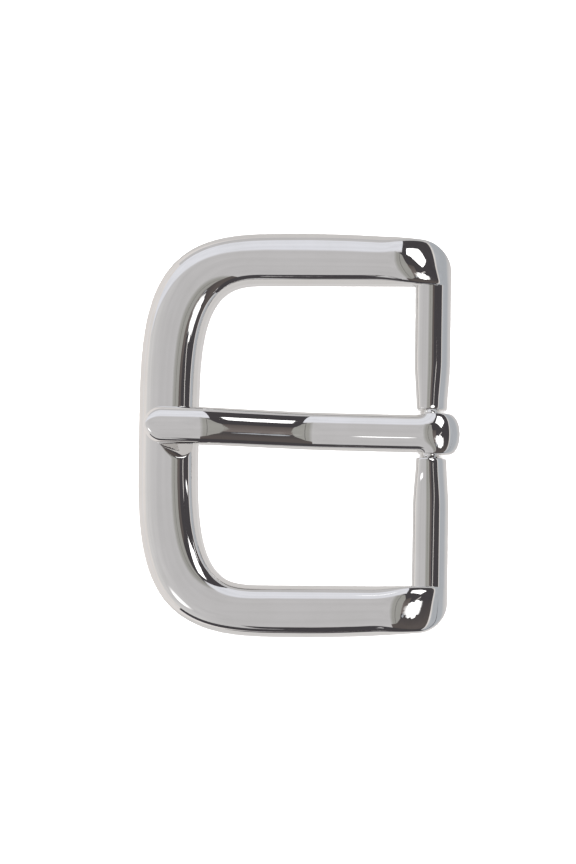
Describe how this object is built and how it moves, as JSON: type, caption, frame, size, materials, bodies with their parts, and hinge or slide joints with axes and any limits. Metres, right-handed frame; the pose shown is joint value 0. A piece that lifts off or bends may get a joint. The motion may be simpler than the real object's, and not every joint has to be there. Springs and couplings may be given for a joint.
{
  "type": "belt buckle",
  "caption": "D-shaped polished metal belt buckle, cast with its heel bar; a bent prong curls round the bar's neck and rests in a groove in the front bar.",
  "frame": {"origin": "under the middle of the bounding box, on the surface that the buckle lies on", "axes": "+Z out of the front face, +X from the front bar to the heel bar, +Y along both bars"},
  "size_m": [0.0388, 0.0488, 0.0081],
  "materials": {
    "frame_plating": "mirror-polished bright nickel plating on die-cast zinc",
    "prong_plating": "mirror-polished bright nickel plating"
  },
  "bodies": {
    "frame_body": {"frame": "frame_plating"},
    "prong_body": {"prong": "prong_plating"}
  },
  "joints": [
    {"name": "prong_hinge", "type": "hinge", "parent": "frame_body", "child": "prong_body", "pos_m": [0.01583, 0, 0.0018], "axis": [0, 1, 0], "range_deg": [0, 171]}
  ]
}
